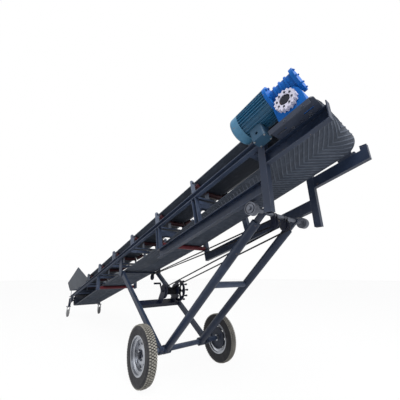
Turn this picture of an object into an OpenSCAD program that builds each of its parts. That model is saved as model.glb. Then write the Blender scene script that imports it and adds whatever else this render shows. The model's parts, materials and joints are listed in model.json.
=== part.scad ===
// Truck loading conveyor: an inclined belt conveyor on two road wheels.
// The belt frame is carried by two pairs of legs that meet at the axle.
// X runs from the tail to the head, Z is up, the drive is on the -Y side.

/* [Stance] */
// incline of the belt frame as it parks, degrees
incline = 13.75; // [11:0.25:18]
// distance from the axle to the frame's datum point, along the ground
datum_x = 1405; // [1350:5:1450]
// height of the frame's datum point, which lies on the luffing rail's underside
datum_z = 1594; // [1540:2:1640]

/* [Frame] */
// outside width of the belt frame
frame_w = 826; // [800:2:850]
// tail end of the top chords, measured from the datum
tail_s = -6550; // [-6800:10:-6300]
// head end of the top chords
chord_head_s = 270; // [240:5:320]
// head end of the drive channels
head_s = 740; // [700:5:780]
// underside of the top chord above the datum line
chord_v = 396; // [385:1:410]
// depth of the top chord
chord_h = 60; // [50:1:66]
// flange width of the channels
flange_w = 50; // [44:1:54]
// wall of the channels
section_t = 6; // [4:0.5:8]
// upper face of the luffing rail above the datum line
rail_v = 108; // [100:1:114]
// underside of the luffing rail above the datum line
rail_low_v = 4; // [0:1:10]
// tail end of the luffing rail
rail_tail_s = -1486; // [-1500:2:-1440]
// head end of the luffing rail at the datum line
rail_head_s = 136; // [120:1:140]
// width of the uprights along the frame
upright_w = 66; // [56:1:76]
// station of the first idler, measured from the datum
station_s = 130; // [120:1:132]
// distance between idlers
station_pitch = 859; // [840:1:862]
// number of idlers
station_count = 8; // [7:1:8]
// width of the stop post along the frame
post_w = 62; // [55:1:75]
// how far the stop post hangs below the datum line
post_drop = 150; // [120:2:170]
// underside of the drive channel above the datum line
drive_v = 206; // [200:1:212]
// depth of the drive channel
drive_h = 100; // [96:1:104]

/* [Belt] */
// thickness of the belt
belt_t = 9; // [7:0.5:11]
// half width of the trough's flat middle as a share of the frame's inner half width
trough_share = 0.317; // [0.3:0.001:0.33]
// level width of each raised side as a share of the frame's inner half width
wing_share = 0.441; // [0.42:0.001:0.45]
// slope of the raised sides, degrees
wing_slope = 30; // [25:1:32]
// underside of the carrying run above the datum line
run_v = 600; // [592:1:610]
// radius of both drums
drum_r = 125; // [118:1:132]
// station of the head drum
drum_s = 600; // [590:1:608]
// height of the head drum's shaft above the datum line
drum_v = 430; // [424:1:436]
// station of the tail drum
tail_drum_s = -6330; // [-6350:5:-6310]
// height of the tail drum's shaft above the datum line
tail_drum_v = 330; // [324:1:336]
// diameter of the drum shafts
shaft_d = 50; // [44:1:54]
// diameter of the head drum's free shaft end
shaft_end_d = 44; // [38:1:46]
// length of the head drum's free shaft end
shaft_free = 40; // [30:1:50]
// room left for the belt's ribs under the return run
rib_room = 6; // [5:0.5:8]

/* [Rollers] */
// diameter of the trough idlers
idler_d = 63; // [60:1:66]
// diameter of the return rollers
return_d = 60; // [50:1:64]
// distance from the return rollers' ends to the frame
return_gap = 20; // [16:1:40]
// diameter of the roller spindles
spindle_d = 20; // [16:1:24]

/* [Drive] */
// distance of the gearbox's middle outside the frame
gear_out = 57; // [55:1:58]
// half width of the gearbox housing
gear_half = 62; // [58:1:63]
// tail face of the gearbox, measured from the datum
gear_s0 = 498; // [490:1:500]
// height of the worm above the drum shaft
worm_rise = 153; // [151:1:158]
// diameter of the motor over its fins
motor_d = 256; // [246:1:256]
// length of the finned body
motor_len = 262; // [250:1:270]
// length of the fan cover
cover_len = 90; // [80:1:100]
// number of cooling fins round the motor
fin_count = 32; // [28:1:36]
// diameter of the output flange
flange_d = 156; // [146:1:160]
// length of the terminal box
box_len = 120; // [100:1:130]
// width of the terminal box
box_w = 110; // [96:1:120]
// height of the terminal box
box_h = 100; // [90:1:104]
// diameter of the cable entry
gland_d = 25; // [20:0.5:26]
// depth of the cable entry
gland_depth = 40; // [30:1:46]

/* [Legs] */
// station of the tail legs' pivot on the frame
pivot_s = -2822; // [-2840:2:-2790]
// height of the tail legs' pivot above the datum line
pivot_v = 177; // [172:1:180]
// distance of the tail legs inside the frame
tail_leg_in = 37; // [36:1:38]
// width of the tail legs across the machine
tail_leg_w = 40; // [34:1:40]
// depth of the tail legs
tail_leg_h = 64; // [56:1:72]
// distance of the head legs inside the frame
head_leg_in = 117; // [112:1:122]
// diameter of the head legs
head_leg_d = 80; // [70:1:84]
// diameter of the luffing rollers
roller_d = 104; // [96:1:108]
// gap between the luffing roller and its rail
roller_gap = 6; // [5:0.5:8]
// share of the tail leg, from the axle, at which the winch beam sits
beam_share = 0.48; // [0.44:0.01:0.52]
// share of the head leg, from the axle, at which the cross tube sits
tie_share = 0.543; // [0.5:0.005:0.58]

/* [Road wheels] */
// outside diameter of the tyre
tyre_d = 560; // [540:2:580]
// width of the tyre
tyre_w = 108; // [100:1:112]
// diameter of the rim's flange as a share of the tyre's
rim_share = 0.636; // [0.62:0.002:0.65]
// distance between the middles of the tyres
track = 1092; // [1070:2:1100]
// diameter of the axle tube
axle_d = 54; // [50:1:56]
// diameter of the stub axle
stub_d = 40; // [36:1:44]

/* [Casters] */
// distance of the swivel axis behind the axle
caster_x = 4960; // [4950:1:4970]
// distance of the casters inside the frame's outer face
caster_in = 13; // [8:1:20]
// diameter of the caster wheel
caster_d = 180; // [160:2:190]
// width of the caster wheel
caster_w = 45; // [38:1:50]
// distance of the caster wheel from its swivel axis
caster_trail = 55; // [40:1:60]

/* [Hopper] */
// station of the hopper's tail edge
hopper_tail_s = -6560; // [-6600:5:-6520]
// upper edge of the hopper at its tail, above the datum line
hopper_tail_v = 840; // [800:2:880]
// station of the hopper's upper corner at the head end
hopper_head_s = -5300; // [-5400:5:-5200]
// upper edge of the hopper at its head end, above the datum line
hopper_head_v = 930; // [890:2:960]
// station of the hopper's toe
hopper_toe_s = -4800; // [-4900:5:-4700]
// lower edge of the hopper above the datum line
hopper_v = 505; // [500:1:515]
// distance of the hopper's lower edge inside the frame
hopper_in = 7; // [4:1:12]
// outward lean of the hopper's sides, degrees
hopper_lean = 20; // [15:0.5:22]
// wall of the hopper
hopper_t = 6; // [5:0.5:8]

/* [Hidden] */
over = 20;
clear = 4;
fit = 0.3;
sliver = 0.5;
wall = 5;
round_fn = 72;
fine_fn = 48;
cs = cos(incline);
sn = sin(incline);
axle_z = tyre_d / 2;
half = frame_w / 2;
in_half = half - flange_w;
trough_half = trough_share * in_half;
wing_w = wing_share * in_half;
gear_y = half + gear_out;
return_len = 2 * (in_half - return_gap);
tail_leg_y = in_half - tail_leg_in;
head_leg_y = in_half - head_leg_in;
caster_y = half - caster_in;
hopper_low_y = in_half - hopper_in;
rim_d = rim_share * tyre_d;
beyond = -tail_s;
chord_top_v = chord_v + chord_h;
deck_v = drive_v + drive_h;
belt_r = drum_r + belt_t;
belt_half = trough_half + wing_w / cos(wing_slope);
wing_rise = wing_w * tan(wing_slope);
x_head = max(datum_x + drum_s * cs - drum_v * sn + belt_r, datum_x + head_s * cs - drive_v * sn);
x_tail = datum_x + hopper_tail_s * cs - hopper_tail_v * sn;
mid_x = (x_head + x_tail) / 2;
stations = [for (k = [0 : station_count - 1]) station_s - k * station_pitch];
last_s = station_s - (station_count - 1) * station_pitch;
run_tail_s = last_s - idler_d;
run_head_s = station_s + idler_d;
roller_r = roller_d / 2;
roller_x = datum_x + (roller_r + roller_gap) * sn;
roller_z = datum_z - (roller_r + roller_gap) * cs;
pivot_x = datum_x + pivot_s * cs - pivot_v * sn;
pivot_z = datum_z + pivot_s * sn + pivot_v * cs;
tail_leg_len = sqrt(pow(pivot_x, 2) + pow(pivot_z - axle_z, 2));
tail_leg_ang = atan2(pivot_z - axle_z, pivot_x);
head_leg_len = sqrt(pow(roller_x, 2) + pow(roller_z - axle_z, 2));
head_leg_ang = atan2(roller_z - axle_z, roller_x);

// the return run rests on these rollers: station, height of the belt's underside
RETURN_S = 0;
RETURN_V = 1;
return_head_s = -1450;
return_head_v = 206;
return_tail_s = -3950;
return_tail_v = 204;
returns = [[return_head_s, return_head_v], [return_tail_s, return_tail_v]];
roller_drop = rib_room + return_d / 2;

// uprights below the top chord: station, height of the lower end
UPRIGHT_S = 0;
UPRIGHT_V = 1;
hang = 40;
upright_s = -650;
hanger_v = return_tail_v - roller_drop - hang;
uprights_at = [[upright_s, rail_v], [return_head_s, rail_v], [return_tail_s, hanger_v]];

// places children in the belt frame: x along the incline, z square to it
module framed() {
  translate([datum_x - mid_x, 0, datum_z]) rotate([0, -incline, 0]) children();
}

// places children at the axle with x along the given direction
module legged(direction) {
  translate([-mid_x, 0, axle_z]) rotate([0, -direction, 0]) children();
}

module at_ground() {
  translate([-mid_x, 0, 0]) children();
}

// repeats children on both sides of the centre line
module both() {
  children();
  mirror([0, 1, 0]) children();
}

// turns children to the -Y side when asked
module on_side(side) {
  mirror([0, side > 0 ? 0 : 1, 0]) children();
}

// a round bar across the machine
module cross_rod(d, y0, y1) {
  translate([0, y0, 0]) rotate([-90, 0, 0]) cylinder(h = y1 - y0, d = d, $fn = fine_fn);
}

// a round bar along x
module long_rod(d, x0, x1) {
  translate([x0, 0, 0]) rotate([0, 90, 0]) cylinder(h = x1 - x0, d = d, $fn = round_fn);
}

// a box from its two corners
module span(x0, x1, y0, y1, z0, z1) {
  translate([x0, y0, z0]) cube([x1 - x0, y1 - y0, z1 - z0]);
}

// a rolled channel on the far side: web inside, flanges turned outward
module channel(x0, x1, z0, z1) {
  difference() {
    span(x0, x1, in_half, half, z0, z1);
    span(x0 - over, x1 + over, in_half + section_t, half + over, z0 + section_t, z1 - section_t);
  }
}

post_x0 = datum_x + rail_head_s * cs - mid_x;
// everything on the head side of the stop posts' tail faces
module past_posts() {
  translate([post_x0, -beyond, 0]) cube([beyond, 2 * beyond, beyond]);
}

// everything on the tail side of the stop posts' head faces
module before_posts() {
  translate([post_x0 + post_w - beyond, -beyond, 0]) cube([beyond, 2 * beyond, beyond]);
}

module top_chords() {
  color([0.16, 0.18, 0.26]) framed() both() channel(tail_s, chord_head_s, chord_v, chord_top_v);
}

module uprights() {
  w = upright_w / 2;
  color([0.18, 0.22, 0.32]) framed() both() for (u = uprights_at) translate([u[UPRIGHT_S], 0, 0])
    difference() {
      span(-w, w, in_half, half, u[UPRIGHT_V], chord_v);
      span(-w + section_t, w - section_t, in_half + section_t, half + over,
        u[UPRIGHT_V] - over, chord_v + over);
    }
}

cross_w = 40;
cross_h = 50;
cross_v = 286;
module cross_members() {
  w = cross_w / 2;
  color([0.18, 0.22, 0.32]) framed() {
    for (u = uprights_at) if (u[UPRIGHT_V] == rail_v)
      span(u[UPRIGHT_S] - w, u[UPRIGHT_S] + w, -in_half, in_half, cross_v, cross_v + cross_h);
    for (s = stations) span(s - w, s + w, -in_half, in_half, chord_v, chord_v + cross_w);
    span(tail_s, tail_s + cross_w, -in_half, in_half, chord_v, chord_v + cross_w);
  }
}

module luff_rails() {
  color([0.2, 0.24, 0.34]) difference() {
    framed() both() channel(rail_tail_s, rail_head_s + 2 * post_w, rail_low_v, rail_v);
    past_posts();
  }
}

module stop_posts() {
  z0 = datum_z + rail_head_s * sn - post_drop;
  color([0.2, 0.24, 0.34]) difference() {
    both() translate([post_x0, in_half, z0]) difference() {
      cube([post_w, flange_w, 4 * post_drop]);
      translate([wall, wall, -over]) cube([post_w - 2 * wall, flange_w - 2 * wall, 5 * post_drop]);
    }
    framed() span(-beyond, beyond, -beyond, beyond, chord_v, beyond);
  }
}

end_l = 52;
end_h = 134;
end_x = datum_x + head_s * cs - drive_v * sn - mid_x;
end_z = datum_z + head_s * sn + drive_v * cs;
// everything on the head side of the drive channels' plumb ends
module past_ends() {
  translate([end_x - fit, -beyond, 0]) cube([beyond, 2 * beyond, beyond]);
}

// the channels are cut plumb at the head and carry upright end plates with a gusset
module drive_channels() {
  color([0.16, 0.18, 0.26]) {
    difference() {
      framed() both() channel(0, head_s + drive_h, drive_v, deck_v);
      before_posts();
      past_ends();
    }
    both() translate([end_x, 0, end_z]) {
      span(-section_t, 0, in_half + fit, half - fit, 0, end_h);
      span(-end_l, -fit, in_half + sliver, in_half + section_t - sliver, 0, end_h - fit);
    }
  }
}

stand_t = 8;
stand_w = 64;
bar_h = 20;
bar_half = half - flange_w / 2;
bar_v = chord_top_v + bar_h;
module idler_stands() {
  w = stand_w / 2;
  color([0.62, 0.64, 0.66]) framed() for (s = stations)
    span(s - w, s + w, -bar_half, bar_half, chord_top_v, bar_v);
}

idler_v = run_v - idler_d / 2 - sliver;
stand_y = trough_half + wing_w + 2 * stand_t;
stand_r = (hopper_low_y - stand_t - stand_y) / 2;
stand_over = 14;
// plates on the bars: low ones between the rollers, round-topped ones outside the belt
module idler_brackets() {
  w = stand_w / 2;
  t = stand_t / 2;
  top_v = run_v + wing_rise + stand_over - stand_r;
  color([0.62, 0.64, 0.66]) framed() for (s = stations) translate([s, 0, 0]) both() {
    span(-w, w, trough_half + sliver, trough_half + stand_t, bar_v, idler_v);
    span(-t, t, stand_y, stand_y + 2 * stand_r, bar_v, top_v);
    translate([0, stand_y + stand_r, top_v]) long_rod(2 * stand_r, -t, t);
  }
}

wing_gap = idler_d / 2 + sliver;
wing_len = wing_w / cos(wing_slope) - 6 * stand_t;
module trough_idlers() {
  wing_y = trough_half + wing_w / 2 + wing_gap * sin(wing_slope);
  wing_v = run_v + wing_rise / 2 - wing_gap * cos(wing_slope);
  color([0.4, 0.1, 0.1]) framed() for (s = stations) translate([s, 0, 0]) {
    translate([0, 0, idler_v]) cross_rod(idler_d, -trough_half + clear, trough_half - clear);
    both() translate([0, wing_y, wing_v]) rotate([wing_slope, 0, 0])
      cross_rod(idler_d, -wing_len / 2, wing_len / 2);
  }
}

module return_rollers() {
  color([0.4, 0.1, 0.1]) framed() for (r = returns)
    translate([r[RETURN_S], 0, r[RETURN_V] - roller_drop]) {
      cross_rod(return_d, -return_len / 2, return_len / 2);
      cross_rod(spindle_d, -in_half, in_half);
    }
}

// side view of the belt's loop, grown by the given amount from the drums
module loop_side(grow) {
  r = drum_r + grow;
  carry = [[tail_drum_s, tail_drum_v + r], [run_tail_s, run_v + grow],
    [run_head_s, run_v + grow], [drum_s, drum_v + r]];
  back = [for (b = returns) [b[RETURN_S], b[RETURN_V] + belt_t - grow]];
  translate([drum_s, drum_v]) circle(r = r, $fn = round_fn);
  translate([tail_drum_s, tail_drum_v]) circle(r = r, $fn = round_fn);
  polygon(concat(carry, [[drum_s, drum_v - r]], back, [[tail_drum_s, tail_drum_v - r]]));
}

// raised sides of the trough: sections from the tail drum to the head drum
WING_S = 0;
WING_V = 1;
WING_Y = 2;
WING_UP = 3;
wing_cuts = [[tail_drum_s, tail_drum_v + drum_r, belt_half, 0],
  [run_tail_s, run_v, trough_half + wing_w, wing_rise],
  [run_head_s, run_v, trough_half + wing_w, wing_rise],
  [drum_s, drum_v + drum_r, belt_half, 0]];
module wing() {
  n = len(wing_cuts);
  points = [for (c = wing_cuts) each [[c[WING_S], trough_half, c[WING_V]],
    [c[WING_S], c[WING_Y], c[WING_V] + c[WING_UP]],
    [c[WING_S], c[WING_Y], c[WING_V] + c[WING_UP] + belt_t],
    [c[WING_S], trough_half, c[WING_V] + belt_t]]];
  skin = [for (k = [0 : n - 2], e = [0 : 3]) let (a = 4 * k + e, b = 4 * k + (e + 1) % 4)
    each [[a, a + 4, b], [b, a + 4, b + 4]]];
  caps = [[0, 1, 2], [0, 2, 3], [4 * n - 4, 4 * n - 2, 4 * n - 3], [4 * n - 4, 4 * n - 1, 4 * n - 2]];
  polyhedron(points = points, faces = concat(skin, caps));
}

module belt() {
  color([0.2, 0.2, 0.21]) framed() {
    difference() {
      translate([0, belt_half, 0]) rotate([90, 0, 0]) linear_extrude(height = 2 * belt_half) difference() {
        loop_side(belt_t);
        loop_side(0);
      }
      both() span(tail_drum_s, drum_s, trough_half, belt_half + over, drum_v, run_v + over);
    }
    both() wing();
  }
}

rim_t = 10;
disc_t = 12;
disc_holes = 4;
disc_inset = 40;
disc_ring_share = 0.56;
module drum() {
  y = belt_half + clear;
  r_in = drum_r - rim_t;
  difference() {
    cross_rod(2 * drum_r - fit, -y, y);
    cross_rod(2 * r_in, -y - over, y + over);
  }
  difference() {
    both() cross_rod(2 * r_in + sliver, y - disc_inset - disc_t, y - disc_inset);
    for (k = [0 : disc_holes - 1]) rotate([0, k * 360 / disc_holes, 0])
      translate([disc_ring_share * drum_r, 0, 0]) cross_rod(drum_r / 3, -y, y);
  }
}

shoulder = 8;
module head_drum() {
  y1 = bearing_y1 + shoulder;
  color([0.3, 0.3, 0.32]) framed() translate([drum_s, 0, drum_v]) {
    drum();
    cross_rod(shaft_d, -gear_y - gear_half, y1);
    cross_rod(shaft_end_d, y1 - shoulder, y1 + shaft_free);
  }
}

module tail_drum() {
  color([0.3, 0.3, 0.32]) framed() translate([tail_drum_s, 0, tail_drum_v]) {
    drum();
    cross_rod(shaft_d, -half + clear, half - clear);
  }
}

bearing_l = 150;
bearing_w = 40;
bearing_r = 50;
bearing_gap = 2;
bearing_y0 = in_half + bearing_gap;
bearing_y1 = bearing_y0 + bearing_w;
module head_bearings() {
  low = deck_v - drum_v;
  l = bearing_l / 2;
  color([0.2, 0.25, 0.35]) framed() both() translate([drum_s, 0, drum_v]) difference() {
    union() {
      span(-l, l, bearing_y0, bearing_y1, low, low + bar_h);
      span(-bearing_r, bearing_r, bearing_y0, bearing_y1, low, 0);
      cross_rod(2 * bearing_r, bearing_y0, bearing_y1);
    }
    cross_rod(shaft_d + fit, bearing_y0 - over, bearing_y1 + over);
  }
}

slide_l = 170;
module tail_bearings() {
  color([0.2, 0.25, 0.35]) framed() both() translate([tail_drum_s, 0, tail_drum_v]) difference() {
    span(-slide_l / 2, slide_l / 2, bearing_y0, bearing_y1, -bearing_r, chord_v - tail_drum_v);
    cross_rod(shaft_d + fit, bearing_y0 - over, bearing_y1 + over);
  }
}

plate_s0 = 412;
plate_s1 = 740;
plate_t = 8;
plate_reach = 142;
plate_out = half + plate_reach;
plate_lip = 30;
plate_round = 26;
slot_l = 70;
slot_d = 14;
slot_in = 60;
slot_shares = [0.07, 0.68];
module drive_plate() {
  y0 = -plate_out;
  low = deck_v - over;
  high = deck_v + over;
  notch = bearing_l / 2 + clear;
  slot_y = -half - slot_in;
  color([0.2, 0.21, 0.28]) framed() difference() {
    union() {
      span(plate_s0, plate_s1 - plate_round, y0, -half + over, deck_v, deck_v + plate_t);
      span(plate_s0, plate_s1, y0 + plate_round, -half + over, deck_v, deck_v + plate_t);
      translate([plate_s1 - plate_round, y0 + plate_round, deck_v])
        cylinder(h = plate_t, r = plate_round, $fn = fine_fn);
      span(plate_s0, plate_s1 - plate_round, y0, y0 + plate_t, deck_v - plate_lip, deck_v);
    }
    span(drum_s - notch, drum_s + notch, -bearing_y1 - clear, -in_half, low, high);
    for (k = slot_shares) translate([plate_s0 + k * (plate_s1 - plate_s0), 0, 0])
      span(0, slot_l, slot_y, slot_y + slot_d, low, high);
  }
}

gear_base_v = deck_v + plate_t;
motor_v = drum_v + worm_rise;
housing_d = 206;
worm_d = 150;
flange_lip = 1;
input_d = motor_d + 2 * flange_lip;
input_t = 24;
cover_d = 190;
gear_s1 = 722;
neck = 58;
rib_t = 10;
ribs = 3;
module gearbox() {
  r = housing_d / 2;
  y0 = -gear_y - gear_half;
  y1 = -gear_y + gear_half;
  rib_gap = (gear_s1 - gear_s0 - 2 * input_t) / (ribs + 1);
  color([0.1, 0.28, 0.6]) framed() difference() {
    union() {
      translate([drum_s, -gear_y, drum_v]) cross_rod(housing_d, -gear_half, gear_half);
      span(drum_s - r, drum_s + r, y0, y1, gear_base_v, drum_v);
      span(drum_s - neck, drum_s + neck, -gear_y - neck, -gear_y + neck, drum_v, motor_v);
      translate([0, -gear_y, motor_v]) {
        long_rod(worm_d, gear_s0, gear_s1);
        long_rod(input_d, gear_s0, gear_s0 + input_t);
        long_rod(cover_d, gear_s1 - input_t, gear_s1);
        for (k = [1 : ribs]) translate([gear_s0 + input_t + k * rib_gap, 0, 0])
          long_rod(worm_d + 2 * rib_t, -rib_t / 2, rib_t / 2);
      }
    }
    translate([drum_s, 0, drum_v]) cross_rod(shaft_d + fit, y0 - over, y1 + over);
  }
}

scallops = 16;
scallop_d = 20;
flange_t = 36;
boss_share = 0.34;
module output_flange() {
  y1 = -gear_y - gear_half - fit;
  color([0.8, 0.8, 0.82]) framed() translate([drum_s, 0, drum_v]) {
    difference() {
      cross_rod(flange_d, y1 - flange_t, y1);
      for (k = [0 : scallops - 1]) rotate([0, k * 360 / scallops, 0])
        translate([flange_d / 2, 0, 0]) cross_rod(scallop_d, y1 - 2 * flange_t, y1 + flange_t);
      cross_rod(flange_d / 2, y1 - 2 * flange_t, y1 - flange_t / 2);
    }
    cross_rod(boss_share * flange_d, y1 - flange_t + clear, y1 - flange_t / 2);
  }
}

fin_w = 4;
core_share = 0.86;
module motor() {
  color([0.15, 0.38, 0.44]) framed() translate([gear_s0 - motor_len, -gear_y, motor_v])
    rotate([0, 90, 0]) linear_extrude(height = motor_len) {
      circle(d = core_share * motor_d, $fn = round_fn);
      for (k = [0 : fin_count - 1]) rotate(k * 360 / fin_count)
        translate([0, -fin_w / 2]) square([motor_d / 2, fin_w]);
    }
}

cover_round = 34;
module fan_cover() {
  r = motor_d / 2;
  color([0.35, 0.55, 0.6]) framed() translate([gear_s0 - motor_len, -gear_y, motor_v])
    rotate([0, -90, 0]) rotate_extrude($fn = round_fn) {
      square([r, cover_len - cover_round]);
      square([r - cover_round, cover_len]);
      intersection() {
        translate([r - cover_round, cover_len - cover_round]) circle(r = cover_round, $fn = fine_fn);
        square([r, cover_len]);
      }
    }
}

box_round = 24;
// a square with rounded corners
module soft_square(l, w, r) {
  translate([r, 0]) square([l - 2 * r, w]);
  translate([0, r]) square([l, w - 2 * r]);
  for (x = [r, l - r], y = [r, w - r]) translate([x, y]) circle(r = r, $fn = fine_fn);
}

box_in = 20;
box_s = gear_s0 - motor_len + box_in;
box_v = motor_v - motor_d / 2 - box_h;
module terminal_box() {
  y0 = -gear_y - box_w / 2;
  color([0.15, 0.38, 0.44]) framed() difference() {
    translate([box_s, y0, box_v]) linear_extrude(height = 2 * box_h)
      soft_square(box_len, box_w, box_round);
    translate([0, -gear_y, motor_v]) long_rod(motor_d + 2 * fit, box_s - over, box_s + box_len + over);
    translate([box_s + box_len / 2, 0, box_v + box_h / 2])
      cross_rod(gland_d, y0 - over, y0 + gland_depth);
  }
}

lean_c = cos(hopper_lean);
lean_t = tan(hopper_lean);
hopper_back_v = 620;
hopper_foot_s = -5700;
strut_w = 30;
cleat_tail_s = hopper_foot_s + 2 * strut_w;
cleat_head_s = hopper_toe_s - 5 * strut_w;
// two leaning side plates on cleats and a back plate on struts, a hair apart
module hopper() {
  y_of = function (v) hopper_low_y + (v - hopper_v) * lean_t + 2 * hopper_t;
  w_of = function (v) (v - hopper_v) / lean_c;
  side_s = hopper_tail_s + hopper_t + fit;
  color([0.42, 0.44, 0.46]) framed() {
    both() {
      translate([0, hopper_low_y, hopper_v]) rotate([90 - hopper_lean, 0, 0])
        translate([0, 0, -hopper_t]) linear_extrude(height = hopper_t)
          polygon([[side_s, w_of(hopper_back_v + hopper_t)], [side_s, w_of(hopper_tail_v - hopper_t)],
            [hopper_head_s, w_of(hopper_head_v)], [hopper_toe_s, 0], [hopper_foot_s, 0]]);
      for (s = [cleat_tail_s, cleat_head_s])
        span(s, s + strut_w, hopper_low_y - hopper_t, in_half + strut_w,
          chord_top_v, hopper_v + strut_w / 2);
      span(hopper_tail_s, tail_s + strut_w, in_half + hopper_t, in_half + 2 * hopper_t,
        chord_top_v, hopper_back_v + strut_w);
    }
    translate([hopper_tail_s, 0, 0]) rotate([90, 0, 90]) linear_extrude(height = hopper_t)
      polygon([[-y_of(hopper_back_v), hopper_back_v], [y_of(hopper_back_v), hopper_back_v],
        [y_of(hopper_tail_v), hopper_tail_v], [-y_of(hopper_tail_v), hopper_tail_v]]);
  }
}

pivot_d = 36;
module pivot_shaft() {
  color([0.3, 0.31, 0.34]) framed() translate([pivot_s, 0, pivot_v]) cross_rod(pivot_d, -in_half, in_half);
}

bracket_l = 110;
bracket_t = 12;
module pivot_brackets() {
  l = bracket_l / 2;
  y0 = in_half - bracket_t;
  color([0.18, 0.2, 0.28]) framed() both() difference() {
    union() {
      span(pivot_s - l, pivot_s + l, y0, in_half, pivot_v, chord_top_v - section_t);
      translate([pivot_s, 0, pivot_v]) cross_rod(bracket_l, y0, in_half);
    }
    translate([pivot_s, 0, pivot_v]) cross_rod(pivot_d + fit, y0 - over, in_half + over);
  }
}

block_w = 44;
block_half = 22;
block_cheek = 6;
block_drop = 75;
sheave_d = 92;
sheave_w = 26;
rope_groove = 10;
// a rope block that hangs from a bar of the given diameter at the origin
module rope_block(d) {
  lip = (sheave_w - rope_groove) / 2;
  difference() {
    union() {
      both() {
        span(-block_w / 2, block_w / 2, block_half - block_cheek, block_half, -block_drop, 0);
        cross_rod(block_w, block_half - block_cheek, block_half);
      }
      translate([0, 0, -block_drop]) {
        cross_rod(block_w, -block_half, block_half);
        cross_rod(sheave_d - 2 * rope_groove, -sheave_w / 2, sheave_w / 2);
        both() cross_rod(sheave_d, sheave_w / 2 - lip, sheave_w / 2);
      }
    }
    cross_rod(d + fit, -2 * block_half, 2 * block_half);
  }
}

block_in = 98;
module pivot_block() {
  color([0.1, 0.1, 0.12]) framed() translate([pivot_s, tail_leg_y - block_in, pivot_v])
    rotate([0, incline, 0]) rope_block(pivot_d);
}

caster_top_z = 240;
caster_pad = 100;
pad_t = 8;
king_d = 16;
module caster_brackets() {
  pad = caster_pad / 2;
  w = upright_w / 2;
  post_z = caster_top_z + pad_t;
  color([0.18, 0.2, 0.28]) difference() {
    at_ground() translate([-caster_x, 0, 0]) both() {
      span(-pad, pad, caster_y - pad, caster_y + pad, caster_top_z, post_z);
      span(-w, w, in_half, half, post_z, datum_z);
    }
    framed() span(-2 * beyond, 0, -beyond, beyond, chord_v, beyond);
    at_ground() translate([-caster_x, 0, 0]) both() {
      span(-w + wall, w - wall, in_half + wall, half + over, post_z, datum_z);
      translate([0, caster_y, caster_top_z - over])
        cylinder(h = 2 * over, d = king_d + 2 * fit, $fn = fine_fn);
    }
  }
}

hub_d = 64;
axle_hub_d = 84;
drain_d = 10;
module tail_legs() {
  y0 = tail_leg_y - tail_leg_w / 2;
  y1 = tail_leg_y + tail_leg_w / 2;
  h = tail_leg_h / 2;
  color([0.24, 0.27, 0.36]) legged(tail_leg_ang) both() difference() {
    union() {
      difference() {
        span(0, tail_leg_len, y0, y1, -h, h);
        span(axle_hub_d / 2 + wall, tail_leg_len - hub_d / 2, y0 + wall, y1 - wall, -h + wall, h - wall);
        translate([axle_hub_d, tail_leg_y, 0]) cylinder(h = tail_leg_h, d = drain_d, $fn = fine_fn);
      }
      cross_rod(axle_hub_d, y0, y1);
      translate([tail_leg_len, 0, 0]) cross_rod(hub_d, y0, y1);
    }
    cross_rod(axle_d + fit, y0 - over, y1 + over);
    translate([tail_leg_len, 0, 0]) cross_rod(pivot_d + 2 * fit, y0 - over, y1 + over);
  }
}

hub_gap = 6;
module axle() {
  y = track / 2 - tyre_w / 2 - hub_gap;
  color([0.24, 0.27, 0.36]) at_ground() translate([0, 0, axle_z]) {
    cross_rod(axle_d, -y, y);
    cross_rod(stub_d, -track / 2 - over, track / 2 + over);
  }
}

beam_h = 100;
beam_w = 50;
beam_at = beam_share * tail_leg_len;
module winch_beam() {
  y = tail_leg_y - tail_leg_w / 2;
  color([0.14, 0.17, 0.3]) legged(tail_leg_ang) translate([beam_at, 0, 0]) difference() {
    span(-beam_h / 2, beam_h / 2, -y, y, -beam_w / 2, beam_w / 2);
    span(-beam_h / 2 + wall, beam_h / 2 - wall, -y - over, y + over, -beam_w / 2 + wall, beam_w);
  }
}

winch_y0 = 0;
winch_y1 = tail_leg_y - 113;
winch_rise = 165;
winch_l = 120;
winch_v = -beam_w / 2 - winch_rise;
module winch_frame() {
  l = winch_l / 2;
  color([0.13, 0.15, 0.25]) legged(tail_leg_ang) translate([beam_at, 0, 0]) difference() {
    for (y = [winch_y0, winch_y1]) {
      span(-l, l, y, y + stand_t, winch_v, -beam_w / 2);
      translate([0, 0, winch_v]) cross_rod(winch_l, y, y + stand_t);
    }
    translate([0, 0, winch_v]) cross_rod(spindle_d + fit, winch_y0 - over, winch_y1 + over);
  }
}

spool_d = 70;
spool_lip_d = 200;
crank_l = 118;
crank_w = 26;
crank_t = 10;
crank_ang = 31;
grip_d = 26;
grip_l = 95;
wheel_gap = 45;
wheel_t = 16;
wheel_y0 = winch_y1 + stand_t + wheel_gap;
// the rope's spool with its spindle, and the crank at the near end
module winch_drum() {
  y0 = winch_y0 + stand_t + clear;
  y1 = winch_y1 - clear;
  crank_y = winch_y0 - over - crank_t;
  color([0.15, 0.16, 0.2]) legged(tail_leg_ang) translate([beam_at, 0, winch_v]) {
    cross_rod(spool_d, y0, y1);
    cross_rod(spool_lip_d, y0, y0 + stand_t);
    cross_rod(spool_lip_d, y1 - stand_t, y1);
    cross_rod(spindle_d, crank_y, wheel_y0 + wheel_t);
    rotate([0, crank_ang, 0]) {
      span(0, crank_l, crank_y, crank_y + crank_t, -crank_w / 2, crank_w / 2);
      cross_rod(crank_w, crank_y, crank_y + crank_t);
      translate([crank_l, 0, 0]) cross_rod(grip_d, crank_y - grip_l, crank_y + crank_t);
    }
  }
}

wheel_d = 300;
wheel_holes = 6;
wheel_hole_d = 66;
wheel_ring_share = 0.28;
pegs = 10;
peg_d = 16;
peg_l = 60;
knob_d = 26;
knob_l = 24;
peg_ring_share = 0.44;
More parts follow.
